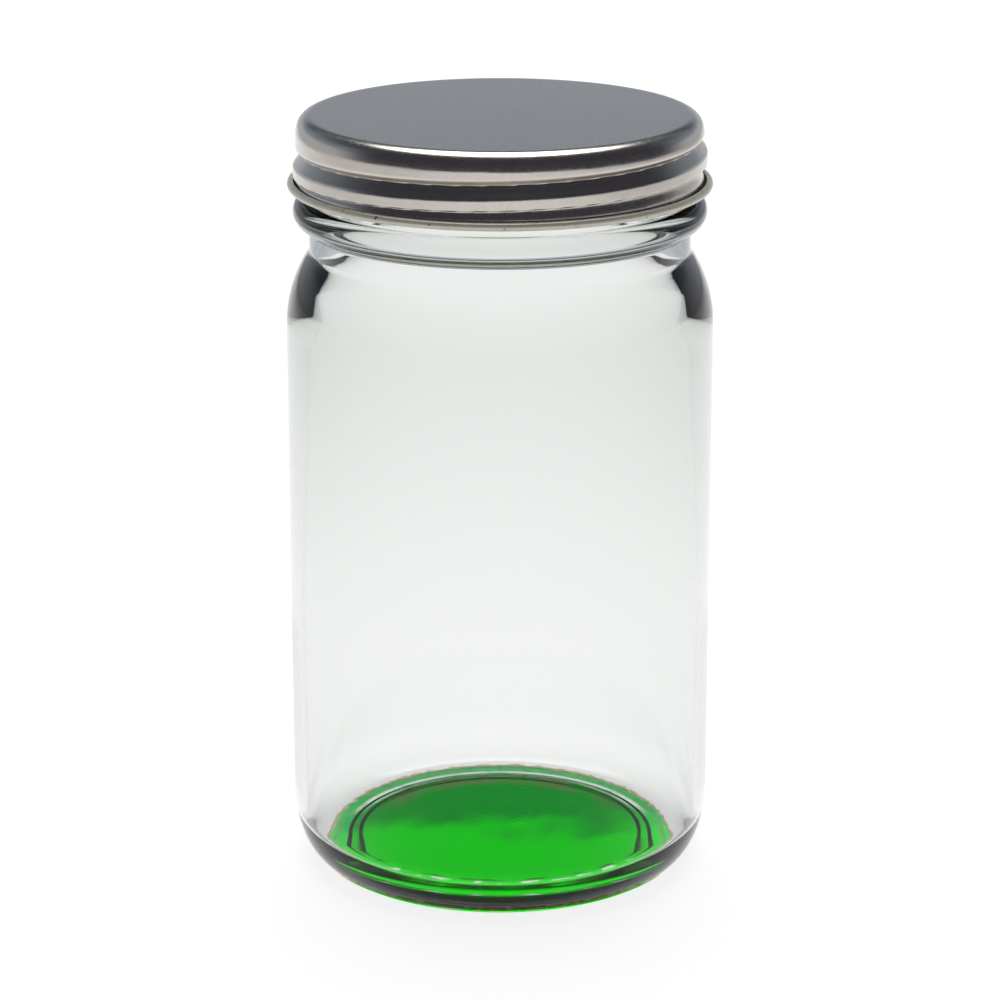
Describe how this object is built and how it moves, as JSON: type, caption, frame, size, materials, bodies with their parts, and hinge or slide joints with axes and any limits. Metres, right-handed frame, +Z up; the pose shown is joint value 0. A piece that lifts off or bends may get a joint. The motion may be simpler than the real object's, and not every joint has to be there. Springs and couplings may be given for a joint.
{
  "type": "screw-top glass jar",
  "caption": "Tall clear glass jar with a green base and a rolled tinplate screw lid, for keeping sourdough starter or dry food.",
  "frame": {"origin": "middle of the base, on the plane that the jar stands on", "axes": "+Z up along the jar's axis towards the lid, -Y towards the front as pictured"},
  "size_m": [0.0934, 0.0934, 0.1693],
  "materials": {
    "clear_glass": "clear soda-lime glass, moulded, with a faint green edge",
    "green_coat": "translucent green coat seen through the glass",
    "tinplate": "satin tinplate with light scuffs on the curl",
    "liner_disc": "matt foam-faced sealing disc"
  },
  "bodies": {
    "jar": {"glass_jar": "clear_glass", "green_base_coat": "green_coat"},
    "liner": {"lid_liner": "liner_disc"},
    "lid": {"lid_shell": "tinplate"}
  },
  "joints": [
    {"name": "lid_lift", "type": "slide", "parent": "jar", "child": "liner", "axis": [0, 0, 1], "range_m": [0, 0.0207]},
    {"name": "lid_turn", "type": "hinge", "parent": "liner", "child": "lid", "pos_m": [0, 0, 0.16], "axis": [0, 0, 1], "range_deg": [0, 1170]}
  ],
  "couplings": [
    {"joint": "lid_lift", "follows": "lid_turn", "m_per_rad": 0.0010106}
  ]
}
